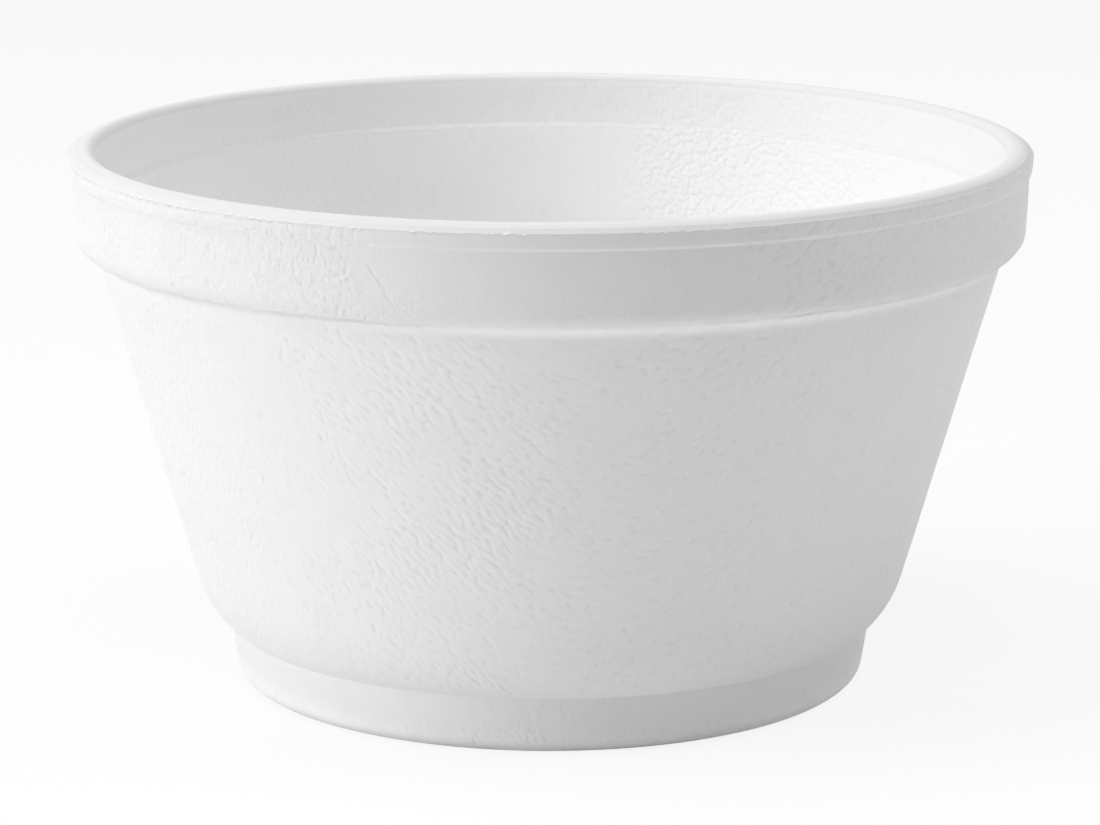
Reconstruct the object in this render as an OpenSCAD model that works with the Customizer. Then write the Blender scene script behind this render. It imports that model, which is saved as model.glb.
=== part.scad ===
// Squat food bowl moulded in one piece from expanded bead foam.
// It stands on a foot ring, upright, with the origin at the middle of its base.

/* [Bowl] */
// Overall height
bowl_h = 66.3; // [60:0.1:74]
// Thickness of the wall, square to its face
wall_t = 3.2; // [2.2:0.1:4]
// Thickness of the floor
floor_t = 3.2; // [2:0.1:5]
// Radius inside, where the wall turns into the floor
floor_turn_r = 9; // [4:0.5:14]

/* [Rim] */
// Diameter over the rim band, which a lid snaps on
rim_d = 117.2; // [114:0.1:124]
// Width of the rim, from the band in to the mouth
rim_w = 3.1; // [2.6:0.1:3.6]
// Fall of the rim's roof, from its crown out to the parting line
roof_fall = 0.82; // [0.5:0.02:1.2]
// Width of the sloping outer part of the roof
roof_slope_w = 0.9; // [0.6:0.05:1.2]
// Radius from the crown in to the mouth
mouth_edge_r = 1.1; // [0.4:0.1:1.2]
// Height of the band under the parting line
band_h = 1.95; // [1:0.05:2.5]
// Radius of the band's lower edge
band_edge_r = 0.25; // [0.1:0.05:0.25]
// Step in the face where the two halves of the mould part
parting_step = 0.12; // [0.05:0.01:0.2]

/* [Collar] */
// Height of the collar, from its underside up to the rim's crown
collar_h = 12.4; // [9:0.1:16]
// Step from the band in to the face of the collar, which a lid's bead catches under
collar_step = 0.3; // [0.26:0.01:0.5]
// Lean of the collar's face, in degrees
collar_draft = 2.8; // [1:0.1:6]
// Radius of the collar's lower edge
collar_edge_r = 2; // [0.5:0.1:2.2]
// Width of the underside, which rests on the rim of the bowl below in a stack
shoulder_w = 2.4; // [2.2:0.1:3.6]
// Radius in the corner between the underside and the wall
shoulder_corner_r = 0.4; // [0.2:0.1:0.8]

/* [Ledge] */
// Depth of the inner ledge below the rim's crown
ledge_depth = 6.3; // [4:0.1:9]
// Width of the ledge
ledge_w = 0.45; // [0.3:0.05:0.8]
// Height of the ledge's slope
ledge_h = 0.55; // [0.3:0.05:1]
// Radius of the ledge's two edges
ledge_edge_r = 0.25; // [0.1:0.05:0.4]

/* [Foot] */
// Diameter of the foot where it meets the wall
foot_d = 79.4; // [76:0.1:82]
// Height of the foot
foot_h = 7.1; // [6:0.1:9]
// Lean of the foot's face, in degrees
foot_draft = 9; // [4:0.5:12]
// Radius of the foot's lower edge
foot_edge_r = 2.2; // [1:0.1:2.6]
// Width of the foot ring at its lower corners
foot_ring_w = 4; // [3.5:0.1:6]
// How far the wall's knee stands out past the top of the foot
knee_out = 3; // [2:0.1:4]
// Height of the knee above the top of the foot
knee_h = 2.6; // [1.5:0.1:3.5]
// Depth of the hollow under the floor
recess_h = 4; // [2:0.1:6]
// Lean of the hollow's side, in degrees
recess_draft = 10; // [2:1:20]
// Radius of the foot ring's inner edge
recess_edge_r = 0.8; // [0.3:0.1:1]
// Radius in the corner of the hollow
recess_corner_r = 1.5; // [0.5:0.1:1.8]

/* [Fill mark] */
// Diameter of the disc that the bead filler leaves under the floor
fill_mark_d = 9; // [6:0.5:14]
// Height of the disc
fill_mark_h = 0.4; // [0.2:0.1:0.8]

/* [Hidden] */
$fn = 256;

rim_r = rim_d / 2;
foot_r = foot_d / 2;

// Heights from the base up
floor_z = recess_h + floor_t;
knee_z = foot_h + knee_h;
shoulder_z = bowl_h - collar_h;
parting_z = bowl_h - roof_fall;
band_z = parting_z - band_h;
ledge_z = bowl_h - ledge_depth;

// Radii of the outside
collar_top_r = rim_r - collar_step;
collar_foot_r = collar_top_r - (band_z - shoulder_z) * tan(collar_draft);
wall_top_r = collar_foot_r - shoulder_w;
knee_r = foot_r + knee_out;
foot_base_r = foot_r - foot_h * tan(foot_draft);

// The wall's two faces are parallel, so the inner one is the outer one moved in
wall_lean = atan((wall_top_r - knee_r) / (shoulder_z - knee_z));
function inner_r(z) = knee_r + (z - knee_z) * tan(wall_lean) - wall_t / cos(wall_lean);
ledge_r = inner_r(ledge_z - ledge_h) + ledge_w;
mouth_r = rim_r - rim_w;

// Radii of the hollow under the floor
recess_base_r = foot_base_r - foot_ring_w;
recess_top_r = recess_base_r - recess_h * tan(recess_draft);

// The knee's arc starts at the top of the foot, and the roof's at the parting line
knee_turn_r = arc_r([foot_r, foot_h], [knee_r, knee_z], [wall_top_r, shoulder_z]);
roof_foot_r = rim_r - parting_step;
roof_corner_r = roof_foot_r - roof_slope_w;
roof_turn_r = arc_r([roof_foot_r, parting_z], [roof_corner_r, bowl_h], [0, bowl_h]);

function unit(v) = v / norm(v);

// Half of the angle at corner p between the ways to a and to b
function half_angle(a, p, b) = acos(unit(a - p) * unit(b - p)) / 2;

// Radius of the arc that touches the line from p to b and the line from p to a, starting at a
function arc_r(a, p, b) = norm(a - p) * tan(half_angle(a, p, b));

// Positive where an outline that runs anticlockwise turns left at p
function turn(a, p, b) = cross(p - a, b - p);

// The sharp tip at corner p beyond an arc of radius r, with an overlap past both of its sides.
// The circle is larger by a hair, so that it crosses the sides and doesn't only touch them.
module corner_tip(a, p, b, r) {
    overlap = 0.05;
    hair = 0.0005;
    half = half_angle(a, p, b);
    middle = unit(unit(a - p) + unit(b - p));
    centre = p + middle * r / sin(half);
    start = p + unit(a - p) * r / tan(half);
    end = p + unit(b - p) * r / tan(half);
    stretch = 1 + overlap / r;
    difference() {
        polygon([
            centre,
            centre + (start - centre) * stretch,
            p - middle * overlap / sin(half),
            centre + (end - centre) * stretch
        ]);
        translate(centre) circle(r + hair);
    }
}

// The tips of all the rounded corners that turn to one side: 1 is left, and -1 is right
module corner_tips(corners, side) {
    count = len(corners);
    at = [for (c = corners) [c[0], c[1]]];
    for (i = [0 : count - 1]) {
        a = at[(i + count - 1) % count];
        b = at[(i + 1) % count];
        if (corners[i][2] > 0 && side * turn(a, at[i], b) > 0)
            corner_tip(a, at[i], b, corners[i][2]);
    }
}

// A closed outline through corners [x, y, radius], listed anticlockwise, each rounded to its
// radius: the tips of its inner corners are filled, and those of its outer corners cut off
module rounded_outline(corners) {
    difference() {
        union() {
            polygon([for (c = corners) [c[0], c[1]]]);
            corner_tips(corners, side = -1);
        }
        corner_tips(corners, side = 1);
    }
}

// The foot and the hollow under it, from the axis out to where the wall starts
foot_corners = [
    [0, recess_h, 0],
    [recess_top_r, recess_h, recess_corner_r],
    [recess_base_r, 0, recess_edge_r],
    [foot_base_r, 0, foot_edge_r],
    [foot_r, foot_h, 0]
];

// The outside of the wall and the collar, going up to the band
outside_corners = [
    [knee_r, knee_z, knee_turn_r],
    [wall_top_r, shoulder_z, shoulder_corner_r],
    [collar_foot_r, shoulder_z, collar_edge_r],
    [collar_top_r, band_z, 0]
];

// The band, the step at the parting line and the rim's roof, over to the mouth
rim_corners = [
    [rim_r, band_z, band_edge_r],
    [rim_r, parting_z, 0],
    [roof_foot_r, parting_z, 0],
    [roof_corner_r, bowl_h, roof_turn_r],
    [mouth_r, bowl_h, mouth_edge_r]
];

// The inside, down over the ledge to the floor and back to the axis
inside_corners = [
    [ledge_r, ledge_z, ledge_edge_r],
    [inner_r(ledge_z - ledge_h), ledge_z - ledge_h, ledge_edge_r],
    [inner_r(floor_z), floor_z, floor_turn_r],
    [0, floor_z, 0]
];

module bowl() {
    color("white") {
        rotate_extrude()
            rounded_outline(concat(foot_corners, outside_corners, rim_corners, inside_corners));
        fill_mark();
    }
}

module fill_mark() {
    sunk = 0.2;
    translate([0, 0, recess_h - fill_mark_h])
        cylinder(h = fill_mark_h + sunk, d = fill_mark_d);
}

bowl();
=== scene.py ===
"""Squat food bowl of white bead foam, seen from the front and a little above."""

import math

import bmesh
import bpy
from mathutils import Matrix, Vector, noise


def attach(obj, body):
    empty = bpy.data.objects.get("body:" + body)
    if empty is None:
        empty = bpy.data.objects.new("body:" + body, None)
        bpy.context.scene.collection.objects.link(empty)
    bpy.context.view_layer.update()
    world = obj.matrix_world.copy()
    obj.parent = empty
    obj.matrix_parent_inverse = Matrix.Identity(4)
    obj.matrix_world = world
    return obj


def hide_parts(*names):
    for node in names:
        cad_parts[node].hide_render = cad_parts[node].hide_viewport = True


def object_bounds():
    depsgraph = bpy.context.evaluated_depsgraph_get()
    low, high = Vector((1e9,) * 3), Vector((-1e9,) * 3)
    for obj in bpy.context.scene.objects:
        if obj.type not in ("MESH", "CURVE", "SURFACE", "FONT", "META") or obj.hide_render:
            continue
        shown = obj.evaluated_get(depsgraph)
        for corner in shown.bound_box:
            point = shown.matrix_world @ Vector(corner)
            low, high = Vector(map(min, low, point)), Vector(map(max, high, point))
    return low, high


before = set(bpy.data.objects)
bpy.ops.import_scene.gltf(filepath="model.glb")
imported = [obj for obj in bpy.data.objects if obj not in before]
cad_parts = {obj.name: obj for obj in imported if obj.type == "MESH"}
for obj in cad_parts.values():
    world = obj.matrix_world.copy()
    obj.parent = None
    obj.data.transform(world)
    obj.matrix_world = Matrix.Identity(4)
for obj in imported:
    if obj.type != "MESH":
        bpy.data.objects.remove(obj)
cad_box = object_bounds()

# The outline is in millimetres: radii from the axis, and heights above the table. A turn is
# the radius that rounds a corner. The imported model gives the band's radius and the rim's height.
MM = 0.001
BAND_R = cad_box[1][0] / MM
RIM_Z = cad_box[1][2] / MM

# Foot, with the hollow in it and the disc that the bead filler leaves there
FOOT_R = 39.7
FOOT_H = 7.1
FOOT_BASE_R = 38.575
FOOT_TURN = 2.2
FOOT_CREASE_TURN = 0.3
FOOT_RING_W = 4.0
RECESS_H = 4.0
RECESS_R = 33.87
RECESS_TURN = 1.5
RECESS_EDGE_TURN = 0.8
FILL_MARK_R = 4.5
FILL_MARK_H = 0.4
FILL_MARK_LEAN = 0.1
FILL_MARK_TURN = 0.15

# Floor and wall. Both faces of the wall grow by WALL_LEAN in each millimetre of height, and
# its middle would meet the table at WALL_MIDDLE_R.
FLOOR_Z = 7.2
FLOOR_TURN = 9.0
INSIDE_FLOOR_R = 38.65
KNEE_R = 42.7
KNEE_Z = 9.7
KNEE_TURN = 12.7
WALL_LEAN = 0.288
WALL_MIDDLE_R = 38.3

# Collar, whose soft underside runs from the wall out and up to its face
SHOULDER_Z = RIM_Z - 12.4
UNDERSIDE_R = 55.339
UNDERSIDE_Z = SHOULDER_Z - 0.3
UNDERSIDE_TURN = 1.8
COLLAR_R = 57.849
COLLAR_Z = SHOULDER_Z + 0.9
COLLAR_TURN = 2.5
COLLAR_TOP_R = 58.22

# Band round the rim, over a small step, with its lower part leaning in
RIM_R = BAND_R - 0.02
PARTING_Z = RIM_Z - 0.82
BAND_Z = PARTING_Z - 1.95
STEP_FOOT_Z = BAND_Z - 0.22
STEP_TURN = 0.25
BAND_FOOT_R = RIM_R - 0.09
BAND_FOOT_Z = BAND_Z + 0.14
BAND_FOOT_TURN = 0.2
BAND_UPRIGHT_Z = BAND_Z + 0.85
BAND_UPRIGHT_TURN = 0.6

# Lip of flash that the parting of the mould leaves round the rim, and the teeth in its edge
FLASH_R = RIM_R + 0.06
FLASH_Z = PARTING_Z - 0.12
FLASH_UNDER = 0.08
FLASH_EDGE_W = 0.03
FLASH_EDGE_H = 0.07
LIP_FOOT_R = 58.03
LIP_FOOT_Z = PARTING_Z + 0.26
TOOTH_FALL = 0.2
TOOTH_REACH = 0.06
TOOTH_SIZE = 0.5
TOOTH_PATCH_SIZE = 5
EDGE_WAVE_REACH = 0.03
EDGE_WAVE_SIZE = 2.1

# Roof of the rim, and the mouth
ROOF_FOOT_R = 57.98
ROOF_FOOT_Z = PARTING_Z + 0.39
ROOF_CORNER_R = 57.25
ROOF_TURN = 3.0
MOUTH_R = BAND_R - 3.1
MOUTH_TURN = 1.1

# Inner ledge
LEDGE_R = 54.02
LEDGE_Z = RIM_Z - 6.3
LEDGE_FOOT_R = 53.7
LEDGE_FOOT_Z = LEDGE_Z - 0.55
LEDGE_MIDDLE_Z = LEDGE_Z - 0.28
LEDGE_TURN = 0.25

# The bowl is turned in equal sectors of a few quads each, which are cut finer along the flash
SECTORS = 24
SECTOR_QUADS = 16
FLASH_CUTS = 3

# A margin in millimetres that picks out the flash's vertices, and a distance in metres under
# which two points count as one
HAIR = 0.02
SAME = 0.001 * MM

# The skin swells and sinks by so much over so many millimetres, but not where the bowl stands
SWELLS = ((0.03, 7), (0.018, 3.2))
STANDING_Z = 0.3

# The skin is unrolled at this radius. At the front, the flow of the beads is nearly level on
# the wall and nearly upright on the collar. It sways by up to half of FLOW_SWAY, in radians.
SKIN_R = 50
WALL_FLOW = math.radians(344)
COLLAR_FLOW = 2.5
FLOW_SWAY = 2.4

# Grains of the skin in each millimetre, across the flow and along it, and in leaning layers
ACROSS = 1.5
ALONG = 0.75
LEANING_ACROSS = ACROSS * 0.7
LEANING_ALONG = ALONG * 0.85

# How many of each there are in a millimetre: sways of the flow, patches of strong wrinkles,
# mottles on the collar, fine grains, slow changes of tone, and bends of the crease
SWAYS_PER_MM = 0.09
PATCHES_PER_MM = 0.13
MOTTLES_PER_MM = 1.1
GRAINS_PER_MM = 3.4
TONES_PER_MM = 0.15
BENDS_PER_MM = 0.4

# The wrinkles are partly even and partly in patches, and each zone takes a share off them. The
# plain part of the collar is the part within this many radians of the front.
EVEN_SHARE = 0.54
PATCH_SHARE = 0.42
ROOF_FADE = 0.8
INSIDE_FADE = 0.4
COLLAR_FADE = 0.2
PLAIN_FADE = 0.6
PLAIN_REACH = 0.42
PLAIN_CORE = 0.28

# Beads inside: how many in each millimetre, and the radius they are unrolled at. Their outlines
# show best in one direction, in radians from the back, and less elsewhere and over the ledge.
BEADS_PER_MM = 1.35
BEAD_UNROLL_R = 48
BEADS_FACE = 0.6
BEADS_ELSEWHERE = 0.1
BEADS_OVER_LEDGE = 0.45

# The crease in the collar: its lean, its place round the collar, its half width, how far it
# bends aside, and its two ends with the length over which it fades there
KNIT_LEAN = 0.575
KNIT_PLACE = 15.1
KNIT_W = 0.42
KNIT_BEND = 2.2
KNIT_FOOT_Z = 55.8
KNIT_FOOT_FADE = 1.7
KNIT_TOP_Z = 62.6
KNIT_TOP_FADE = 2.1

# How far each mark on the skin stands out or sinks in, in millimetres
WRINKLE_H = 0.094
FURROW_H = -0.02
BEAD_H = 0.058
CURL_H = 0.018
MOTTLE_H = 0.14
GRAIN_H = 0.012
MOTTLED_GRAIN_H = 0.014
KNIT_H = -0.035

# Tone of the foam, from 0 to 1, which changes slowly at random, and the painted shade and light
# that each mark and each zone adds to it
FOAM_TONE = 0.86
SLOW_TONE = 0.02
# Painted shade: the furrows of the wrinkles are darker
FURROW_PAINTED_SHADE = -0.035
# Painted shade: the crease in the collar is darker
KNIT_PAINTED_SHADE = -0.02
# Painted shade: the bead outlines are darker than their middles
BEAD_PAINTED_SHADING = 0.014
ZONE_PAINTED_LIGHT_AND_SHADE = {
    # Painted shade: the collar is darker
    "collar": -0.04,
    # Painted light: the foot is lighter
    "foot": 0.1,
    # Painted shade: the roof of the rim is darker
    "roof": -0.085,
    # Painted shade: the inside is a little darker
    "inside": -0.009,
    # Painted light: a lighter line along the step under the band
    "step": 0.035,
    # Painted light: the collar's underside is lighter
    "under": 0.04,
    # Painted shade: the inner ledge is darker
    "ledge": -0.06,
}

# Roughness of the foam, and how much glossier the curls of the bead outlines are
FOAM_ROUGHNESS = 0.62
CURL_GLOSS = 0.2
FOAM_SPECULAR = 0.3

# The floor is a white disc, which shows the camera this share of pure white over its shadow
FLOOR_R = 3
FLOOR_COLOUR = (0.9, 0.9, 0.9, 1)
FLOOR_WHITE = 0.86
WHITE = (1, 1, 1, 1)

# The camera and the lamps stand round the bowl in metres, and the lens is in millimetres
CAMERA_LENS = 143.84
CAMERA_SENSOR_W = 36
CAMERA_PLACE = (0, -0.52985, 0.15191)
CAMERA_AIM = (0, 0, 0.03223)
LAMP_AIM = (0, 0, 0.035)


class Value:
    """An output in a material. Arithmetic on it adds Math nodes."""

    def __init__(self, nodes, socket):
        self.nodes = nodes
        self.socket = socket

    def math(self, operation, *others):
        """Adds a Math node, with this value first and the others after it."""
        values = dict(enumerate((self, *others)))
        return self.nodes.make("Math", {"operation": operation}, values)

    def __add__(self, other):
        return self.math("ADD", other)

    def __sub__(self, other):
        return self.math("SUBTRACT", other)

    def __rsub__(self, other):
        return self.nodes.make("Math", {"operation": "SUBTRACT"}, {0: other, 1: self})

    def __mul__(self, other):
        return self.math("MULTIPLY", other)

    def __abs__(self):
        return self.math("ABSOLUTE")

    __radd__ = __add__
    __rmul__ = __mul__


class Nodes:
    """Adds the nodes of one material or world."""

    def __init__(self, tree):
        self.tree = tree

    def make(self, kind, settings=None, inputs=None, output=0):
        """Adds a node of a kind, with its settings first and then its inputs' values or links."""
        node = self.tree.nodes.new("ShaderNode" + kind)
        for name, value in (settings or {}).items():
            setattr(node, name, value)
        for name, value in (inputs or {}).items():
            self.put(node, name, value)
        return Value(self, node.outputs[output])

    def put(self, node, name, value):
        """Gives a node's input a number, a colour or a link."""
        if isinstance(value, Value):
            self.tree.links.new(value.socket, node.inputs[name])
        else:
            node.inputs[name].default_value = value

    def smooth(self, value, low, high):
        """A smooth step from 0 where the value is at low to 1 where it is at high."""
        return self.make(
            "MapRange", {"interpolation_type": "SMOOTHSTEP"},
            {"Value": value, "From Min": low, "From Max": high},
        )

    def near(self, value, middle, reach, core):
        """1 where the value is in the core round a middle, and 0 past its reach."""
        return self.smooth(abs(value - middle), reach, core)

    def scaled(self, vector, factors):
        return self.make("VectorMath", {"operation": "MULTIPLY"}, {0: vector, 1: factors})

    def combined(self, x, y, z=0):
        return self.make("CombineXYZ", inputs={0: x, 1: y, 2: z})

    def grain(self, vector, scale, detail=0):
        """Noise from 0 to 1, with its scale in grains a millimetre."""
        return self.make("TexNoise", inputs={"Vector": vector, "Scale": scale, "Detail": detail})

    def wave(self, vector, scale, reach):
        """A slow move to and fro, up to half of the reach."""
        return (self.grain(vector, scale) - 0.5) * reach

    def seen(self):
        """1 for what the camera sees, by itself, in a gloss or through glass, and 0 for light."""
        outputs = self.make("LightPath").socket.node.outputs
        straight = Value(self, outputs["Is Camera Ray"])
        gloss = Value(self, outputs["Is Glossy Ray"])
        through = Value(self, outputs["Is Transmission Ray"])
        return straight.math("MAXIMUM", gloss).math("MAXIMUM", through)


class Place:
    """The point of the bowl that a material is worked out for, in millimetres.

    Its azimuth is 0 at the front and grows to the right.
    """

    def __init__(self, nodes):
        self.at = nodes.scaled(nodes.make("TexCoord", output=3), (1 / MM, 1 / MM, 1 / MM))
        parts = nodes.make("SeparateXYZ", inputs={"Vector": self.at}).socket.node.outputs
        self.x, self.y, self.height = (Value(nodes, part) for part in parts)
        self.azimuth = self.x.math("ARCTAN2", 0 - self.y)
        self.radius = (self.x * self.x + self.y * self.y).math("SQRT")


def mesh_piece(name, bm, material):
    """Makes an object of a finished bmesh, with smooth faces and one material."""
    for face in bm.faces:
        face.smooth = True
    mesh = bpy.data.meshes.new(name)
    bm.to_mesh(mesh)
    bm.free()
    mesh.materials.append(material)
    piece = bpy.data.objects.new(name, mesh)
    bpy.context.scene.collection.objects.link(piece)
    return piece


def draw_on(bm, end, steps, step=(0, 0, 0), centre=(0, 0, 0), axis=(0, 1, 0), angle=0):
    """Draws a line on from its end vertex, straight or round a centre, and returns the new end."""
    drawn = bmesh.ops.spin(
        bm, geom=[end], cent=centre, axis=axis, dvec=step, angle=angle, steps=steps
    )
    return [item for item in drawn["geom_last"] if isinstance(item, bmesh.types.BMVert)][0]


def draw_outline(bm, corners):
    """Draws an open outline through corners, with arcs where they have a turn."""
    at = [Vector((r, 0, z)) * MM for r, z, _, _, _ in corners]
    end = bm.verts.new(at[0])
    for i in range(1, len(corners)):
        _, _, turn, arc_steps, spacing = corners[i]
        start = at[i]
        if turn:
            back = (at[i - 1] - at[i]).normalized()
            on = (at[i + 1] - at[i]).normalized()
            half = back.angle(on) / 2
            start = at[i] + back * turn * MM / math.tan(half)
        line = start - end.co
        steps = max(1, round(line.length / (spacing * MM)))
        end = draw_on(bm, end, steps, step=line / steps)
        if turn:
            centre = at[i] + (back + on).normalized() * turn * MM / math.sin(half)
            end = draw_on(
                bm, end, arc_steps, centre=centre, axis=on.cross(back), angle=math.pi - 2 * half
            )


def bowl_corners():
    """The bowl's outline, from the axis under the floor up the outside and down the inside.

    Each corner has its radius, height, turn and arc steps, and the spacing of points before it.
    """
    return [
        (0, RECESS_H - FILL_MARK_H, 0, 0, 1),
        (FILL_MARK_R, RECESS_H - FILL_MARK_H, FILL_MARK_TURN, 2, 2),
        (FILL_MARK_R + FILL_MARK_LEAN, RECESS_H, FILL_MARK_TURN, 2, 1),
        (RECESS_R, RECESS_H, RECESS_TURN, 4, 3),
        (FOOT_BASE_R - FOOT_RING_W, 0, RECESS_EDGE_TURN, 4, 1.2),
        (FOOT_BASE_R, 0, FOOT_TURN, 6, 1),
        (FOOT_R, FOOT_H, FOOT_CREASE_TURN, 3, 0.9),
        (KNEE_R, KNEE_Z, KNEE_TURN, 8, 1),
        (UNDERSIDE_R, UNDERSIDE_Z, UNDERSIDE_TURN, 5, 0.85),
        (COLLAR_R, COLLAR_Z, COLLAR_TURN, 8, 1),
        (COLLAR_TOP_R, STEP_FOOT_Z, STEP_TURN, 2, 0.8),
        (BAND_FOOT_R, BAND_FOOT_Z, BAND_FOOT_TURN, 2, 1),
        (RIM_R, BAND_UPRIGHT_Z, BAND_UPRIGHT_TURN, 2, 1),
        (RIM_R, FLASH_Z - FLASH_UNDER, 0, 0, 0.5),
        (FLASH_R, FLASH_Z, 0, 0, 1),
        (FLASH_R - FLASH_EDGE_W, FLASH_Z + FLASH_EDGE_H, 0, 0, 1),
        (LIP_FOOT_R, LIP_FOOT_Z, 0, 0, 1),
        (ROOF_FOOT_R, ROOF_FOOT_Z, 0, 0, 1),
        (ROOF_CORNER_R, RIM_Z, ROOF_TURN, 6, 0.3),
        (MOUTH_R, RIM_Z, MOUTH_TURN, 6, 0.6),
        (LEDGE_R, LEDGE_Z, LEDGE_TURN, 2, 0.8),
        (LEDGE_FOOT_R, LEDGE_FOOT_Z, LEDGE_TURN, 2, 1),
        (INSIDE_FLOOR_R, FLOOR_Z, FLOOR_TURN, 8, 1.2),
        (0, FLOOR_Z, 0, 0, 3),
    ]


def turn_bowl(bm):
    """Turns the outline into a closed bowl: one sector first, and then its copies."""
    sector = math.tau / SECTORS
    bmesh.ops.spin(
        bm, geom=bm.verts[:] + bm.edges[:], cent=(0, 0, 0), axis=(0, 0, 1),
        angle=sector, steps=SECTOR_QUADS,
    )
    bmesh.ops.spin(
        bm, geom=bm.verts[:] + bm.edges[:] + bm.faces[:], cent=(0, 0, 0), axis=(0, 0, 1),
        angle=math.tau - sector, steps=SECTORS - 1, use_duplicate=True,
    )
    bmesh.ops.remove_doubles(bm, verts=bm.verts, dist=SAME)
    bmesh.ops.recalc_face_normals(bm, faces=bm.faces)


def at_flash(vertex):
    """Tells the vertices of the flash and of the edges beside it."""
    height = vertex.co.z / MM
    return (
        FLASH_Z - FLASH_UNDER - HAIR < height < LIP_FOOT_Z + HAIR
        and vertex.co.xy.length / MM > LIP_FOOT_R - HAIR
    )


def runs_round(edge):
    """Tells an edge that runs round the axis from one that runs along the outline."""
    a, b = (vertex.co for vertex in edge.verts)
    return abs(a.z - b.z) < SAME and abs(a.xy.length - b.xy.length) < SAME


def refine_flash(bm):
    """Cuts the edges that run round the flash finer, for its small teeth."""
    round_edges = [
        edge for edge in bm.edges
        if at_flash(edge.verts[0]) and at_flash(edge.verts[1]) and runs_round(edge)
    ]
    bmesh.ops.subdivide_edges(
        bm, edges=round_edges, cuts=FLASH_CUTS, use_grid_fill=True, use_single_edge=True
    )


def flash_move(around):
    """How far the edge of the flash moves at a place round the rim: out, and down in a tooth.

    The teeth come in patches.
    """
    patch = min(1, max(0.15, 0.5 + 1.6 * noise.noise(around / TOOTH_PATCH_SIZE)))
    tooth = min(1, max(0, 5 * noise.noise(around / TOOTH_SIZE) - 0.5)) * patch
    reach = TOOTH_REACH * tooth + EDGE_WAVE_REACH * noise.noise(around / EDGE_WAVE_SIZE)
    return around.normalized() * reach + Vector((0, 0, -TOOTH_FALL * tooth))


def roughen(bm):
    """Moves the skin a little, as moulded foam is never quite even, and gives the flash teeth."""
    bm.normal_update()
    for vertex in bm.verts:
        at = vertex.co / MM
        lift = sum(reach * noise.noise(at / size) for reach, size in SWELLS)
        if at.z > STANDING_Z:
            vertex.co += vertex.normal * lift * MM
        if at.xy.length > RIM_R + HAIR:
            vertex.co += flash_move(Vector((at.x, at.y, 0))) * MM


def make_bowl(material):
    bm = bmesh.new()
    draw_outline(bm, bowl_corners())
    turn_bowl(bm)
    refine_flash(bm)
    roughen(bm)
    return mesh_piece("foam_bowl", bm, material)


def skin_zones(nodes, place):
    """How much a point belongs to each zone of the bowl, from 0 to 1."""
    height = place.height
    carried_down = place.radius - height * WALL_LEAN
    inside = nodes.smooth(carried_down, WALL_MIDDLE_R + 0.3, WALL_MIDDLE_R - 0.3)
    outside = 1 - inside
    return {
        "inside": inside,
        "collar": nodes.smooth(height, SHOULDER_Z, SHOULDER_Z + 1) * outside,
        "foot": nodes.smooth(height, FOOT_H + 0.3, FOOT_H - 0.3) * outside,
        "roof": nodes.smooth(height, PARTING_Z - 0.3, PARTING_Z + 0.1),
        "step": nodes.near(height, BAND_Z, 0.3, 0.05) * outside,
        "under": nodes.near(height, SHOULDER_Z, 1.4, 0.4) * outside,
        "ledge": nodes.near(height, LEDGE_MIDDLE_Z, 0.5, 0.2) * inside,
    }


def flowing_skin(nodes, place, zones):
    """The wrinkles of the skin, from 0 in a furrow to 1 on a ridge, which follow the flow.

    The flow is twice the angle of the wrinkles, so 0 is level and pi is upright. In one round
    it makes four turns on the wall and one the other way on the collar, and inside it is
    upright. Two layers of drawn-out grain take turns in it: an upright or level one, and one
    that leans to the left or the right.
    """
    x, y, height, azimuth = place.x, place.y, place.height, place.azimuth
    collar, inside = zones["collar"], zones["inside"]
    wall_flow = azimuth * 4 + WALL_FLOW
    collar_flow = COLLAR_FLOW - azimuth
    flow = wall_flow * (1 - collar) + collar_flow * collar
    flow = flow + nodes.wave(place.at, SWAYS_PER_MM, FLOW_SWAY)
    flow = flow * (1 - inside) + inside * math.pi
    level_share = flow.math("COSINE")
    lean_share = flow.math("SINE")
    level = level_share.math("GREATER_THAN", 0)
    lean = lean_share.math("SIGN")
    finer = collar * 0.35 + 1
    aside = (ACROSS - level * (ACROSS - ALONG)) * finer
    upward = (ALONG + level * (ACROSS - ALONG)) * finer
    straight = nodes.grain(nodes.combined(x * aside, y * aside, height * upward), 1)
    around = azimuth * SKIN_R
    slant = nodes.combined(
        (around - height * lean) * LEANING_ACROSS, (around + height * lean) * LEANING_ALONG
    )
    leaning = nodes.make(
        "TexNoise", {"noise_dimensions": "2D"},
        {"Vector": slant, "Scale": 1, "Detail": 0},
    )
    off_seam = nodes.smooth(abs(azimuth), math.pi, math.pi - 0.2)
    return (straight - 0.5) * abs(level_share) + (leaning - 0.5) * abs(lean_share) * off_seam + 0.5


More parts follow.
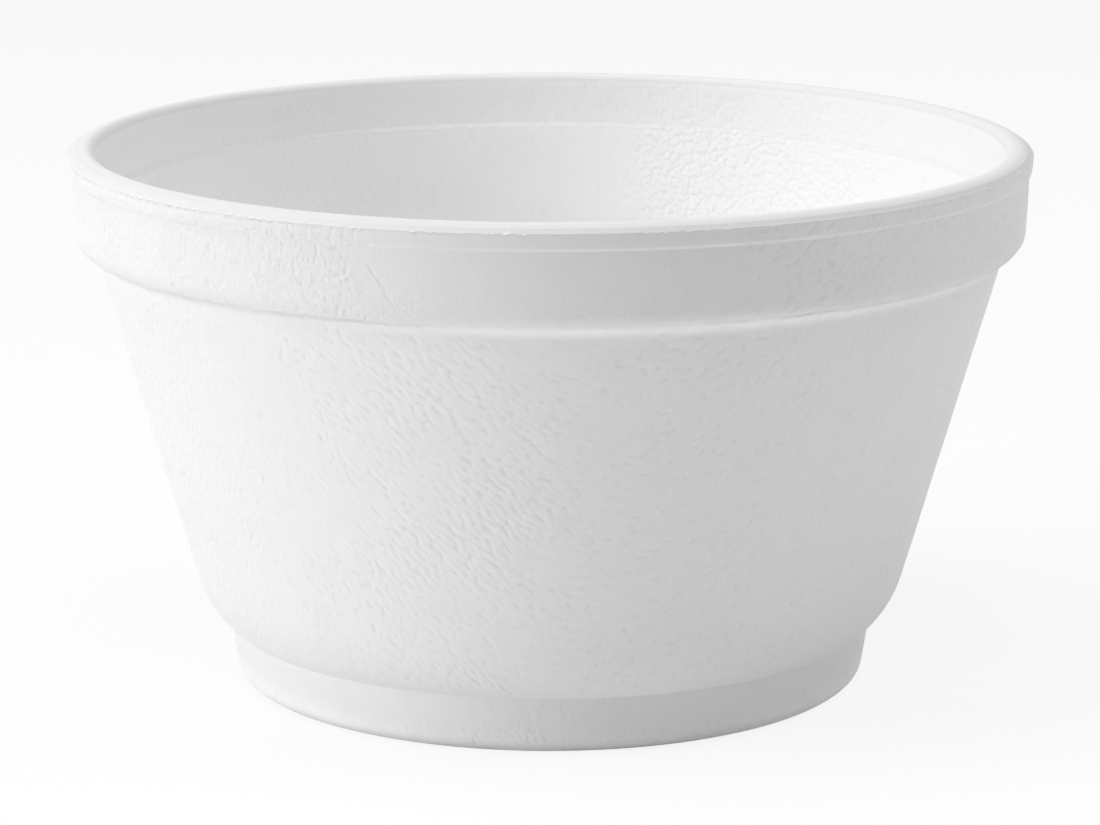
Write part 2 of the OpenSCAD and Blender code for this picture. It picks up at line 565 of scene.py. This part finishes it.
def beads_inside(nodes, place, zones):
    """The rounded beads that show on the inside: 1 in the middle of a bead, 0 at its outline.

    They are unrolled from the wall and lie flat on the floor. Their outlines are clear in one
    direction under the ledge, and faint elsewhere, with none on the seam of the unrolled wall.
    """
    turned = place.x.math("ARCTAN2", place.y)
    on_floor = nodes.smooth(place.radius, INSIDE_FLOOR_R, INSIDE_FLOOR_R - 4)
    wall = nodes.combined(turned * BEAD_UNROLL_R, place.height)
    floor = nodes.combined(place.x, place.y)
    spread = nodes.make("Mix", {"data_type": "VECTOR"}, {0: on_floor, 4: wall, 5: floor}, output=1)
    cells = nodes.make(
        "TexVoronoi", {"feature": "F1", "voronoi_dimensions": "2D"},
        {"Vector": spread, "Scale": BEADS_PER_MM},
    )
    facing = (turned - BEADS_FACE).math("COSINE")
    below = nodes.smooth(place.height, LEDGE_MIDDLE_Z + 0.4, LEDGE_MIDDLE_Z - 0.4)
    off_seam = nodes.smooth(abs(turned), math.pi, math.pi - 0.03)
    clear = nodes.smooth(facing, 0.89, 0.975) * (1 - BEADS_ELSEWHERE) + BEADS_ELSEWHERE
    clear = clear * (below * (1 - BEADS_OVER_LEDGE) + BEADS_OVER_LEDGE)
    clear = clear * (on_floor + off_seam - on_floor * off_seam)
    return nodes.smooth(cells, 0.85, 0.2) * clear * zones["inside"]


def knit_line(nodes, place):
    """The crease in the collar where two streams of beads met, at the left of the front."""
    height = place.height
    aside = place.azimuth * COLLAR_TOP_R + height * KNIT_LEAN - KNIT_PLACE
    aside = aside + nodes.wave(place.at, BENDS_PER_MM, KNIT_BEND)
    above_foot = nodes.smooth(height, KNIT_FOOT_Z, KNIT_FOOT_Z + KNIT_FOOT_FADE)
    below_top = nodes.smooth(height, KNIT_TOP_Z, KNIT_TOP_Z - KNIT_TOP_FADE)
    return nodes.smooth(abs(aside), KNIT_W, 0) * above_foot * below_top


def foam_material():
    """White bead foam: its skin has wrinkles, mottling, bead outlines and fine grain."""
    material = bpy.data.materials.new("bead_foam")
    material.use_nodes = True
    nodes = Nodes(material.node_tree)
    place = Place(nodes)
    zones = skin_zones(nodes, place)
    collar, inside, roof = zones["collar"], zones["inside"], zones["roof"]

    # The skin is stronger in patches, weaker on the roof and inside, and plain on the collar
    # at the front
    patch = nodes.smooth(nodes.grain(place.at, PATCHES_PER_MM), 0.34, 0.6)
    plain = nodes.smooth(abs(place.azimuth), PLAIN_REACH, PLAIN_CORE) * collar
    strong = (
        (patch * PATCH_SHARE + EVEN_SHARE)
        * (1 - roof * ROOF_FADE) * (1 - inside * INSIDE_FADE) * (1 - plain * PLAIN_FADE)
    )
    skin = flowing_skin(nodes, place, zones)
    furrow = nodes.smooth(skin, 0.36, 0.2) * strong

    # The collar is mottled, and curls of bead outlines run along the middle height of its mottling
    mottle = nodes.grain(place.at, MOTTLES_PER_MM, 1) - 0.5
    mottled = (collar - plain) * (1 - roof)
    curl = nodes.smooth(abs(mottle), 0.05, 0) * collar * (1 - roof) * patch

    beads = beads_inside(nodes, place, zones)
    knit = knit_line(nodes, place)
    relief = (
        skin * strong * (1 - collar * COLLAR_FADE) * WRINKLE_H + furrow * FURROW_H
        + beads * BEAD_H + curl * CURL_H + knit * KNIT_H + mottle * mottled * MOTTLE_H
        + nodes.grain(place.at, GRAINS_PER_MM) * (mottled * MOTTLED_GRAIN_H + GRAIN_H)
    )
    # The colour is the foam's tone, changing slowly at random, with painted shade in the furrows,
    # along the crease and at the bead outlines
    tone = (
        nodes.grain(place.at, TONES_PER_MM, 1) * SLOW_TONE + FOAM_TONE
        + furrow * FURROW_PAINTED_SHADE + knit * KNIT_PAINTED_SHADE + beads * BEAD_PAINTED_SHADING
    )
    # Each zone adds painted light or painted shade to the colour
    tone = sum((zones[name] * share for name, share in ZONE_PAINTED_LIGHT_AND_SHADE.items()), tone)

    shader = material.node_tree.nodes["Principled BSDF"]
    shader.inputs["Specular IOR Level"].default_value = FOAM_SPECULAR
    nodes.put(shader, "Base Color", nodes.make("CombineColor", inputs={0: tone, 1: tone, 2: tone}))
    nodes.put(shader, "Roughness", FOAM_ROUGHNESS - curl * CURL_GLOSS)
    bump = nodes.make("Bump", inputs={"Height": relief, "Distance": MM, "Strength": 1.0})
    nodes.put(shader, "Normal", bump)
    return material


def floor_material():
    """A white floor that lights the bowl from below, and shows the camera a faint shadow."""
    material = bpy.data.materials.new("white_floor")
    material.use_nodes = True
    material.cycles.emission_sampling = "NONE"
    nodes = Nodes(material.node_tree)
    lit = nodes.make("BsdfDiffuse", inputs={"Color": FLOOR_COLOUR})
    white = nodes.make("Emission", inputs={"Color": WHITE, "Strength": 1.0})
    mixed = nodes.make("MixShader", inputs={0: nodes.seen() * FLOOR_WHITE, 1: lit, 2: white})
    nodes.put(material.node_tree.nodes["Material Output"], "Surface", mixed)
    return material


def make_floor():
    bm = bmesh.new()
    bmesh.ops.create_circle(bm, cap_ends=True, segments=64, radius=FLOOR_R)
    floor = mesh_piece("floor", bm, floor_material())


def stand(thing, place, aim):
    """Stands a lamp or the camera in its place, facing its aim."""
    thing.location = place
    thing.rotation_euler = (Vector(aim) - thing.location).to_track_quat("-Z", "Y").to_euler()
    bpy.context.scene.collection.objects.link(thing)


def add_light(name, place, size, watts):
    """Adds a square softbox that faces the middle of the bowl."""
    light = bpy.data.lights.new(name, "AREA")
    light.size = size
    light.energy = watts
    stand(bpy.data.objects.new(name, light), place, LAMP_AIM)


def make_lights():
    """A strong box at the left, boxes overhead and at the right, and two weak ones in front."""
    add_light("left_front_box", (-1.0, -0.35, 0.6), 0.6, 7.4)
    add_light("left_low_box", (-1.1, 0.0, 0.3), 0.5, 0.7)
    add_light("left_top_box", (-0.55, 0.0, 1.15), 0.6, 4.55)
    add_light("top_box", (0.0, 0.0, 1.3), 0.6, 4.15)
    add_light("right_high_box", (0.8, 0.0, 0.9), 0.7, 3.85)
    add_light("right_box", (1.1, 0.0, 0.4), 0.6, 1.5)
    add_light("front_high_box", (0.0, -0.8, 1.0), 0.6, 1.2)
    add_light("front_low_box", (-0.7, -1.0, 0.25), 0.5, 0.9)


def make_world():
    """White where the camera sees it, and no light."""
    world = bpy.data.worlds.new("white_room")
    bpy.context.scene.world = world
    world.use_nodes = True
    world.cycles.sampling_method = "NONE"
    nodes = Nodes(world.node_tree)
    background = world.node_tree.nodes["Background"]
    nodes.put(background, "Color", WHITE)
    nodes.put(background, "Strength", nodes.seen())


def make_camera():
    camera = bpy.data.objects.new("camera", bpy.data.cameras.new("camera"))
    camera.data.lens = CAMERA_LENS
    camera.data.sensor_width = CAMERA_SENSOR_W
    stand(camera, CAMERA_PLACE, CAMERA_AIM)
    bpy.context.scene.camera = camera


bpy.context.scene.view_settings.view_transform = "Standard"
make_camera()
make_world()
make_lights()
make_floor()
bowl = make_bowl(foam_material())
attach(bowl, "root")
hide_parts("bowl")
